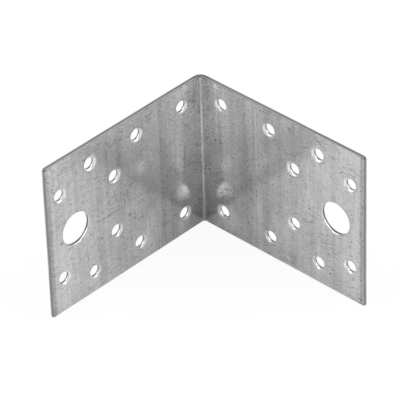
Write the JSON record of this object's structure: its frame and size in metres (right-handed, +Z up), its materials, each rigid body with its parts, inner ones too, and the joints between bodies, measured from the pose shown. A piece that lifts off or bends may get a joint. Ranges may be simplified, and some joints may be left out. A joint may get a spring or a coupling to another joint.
{
  "type": "corner brace bracket",
  "caption": "Plain right-angle connector bracket folded from one galvanised steel sheet, punched with nail holes and a bolt hole in each flange.",
  "frame": {"origin": "middle of the bounding box, level with the lower edges that the bracket stands on", "axes": "+Z up along the fold; +Y out of the outer face of flange A; -X out of the outer face of flange B; the inside of the corner opens towards +X and -Y"},
  "size_m": [0.08, 0.08, 0.065],
  "materials": {
    "galvanised_steel": "hot-dip galvanised sheet, satin grey with faint streaks and specks"
  },
  "bodies": {
    "root": {"bracket": "galvanised_steel"}
  },
  "joints": []
}
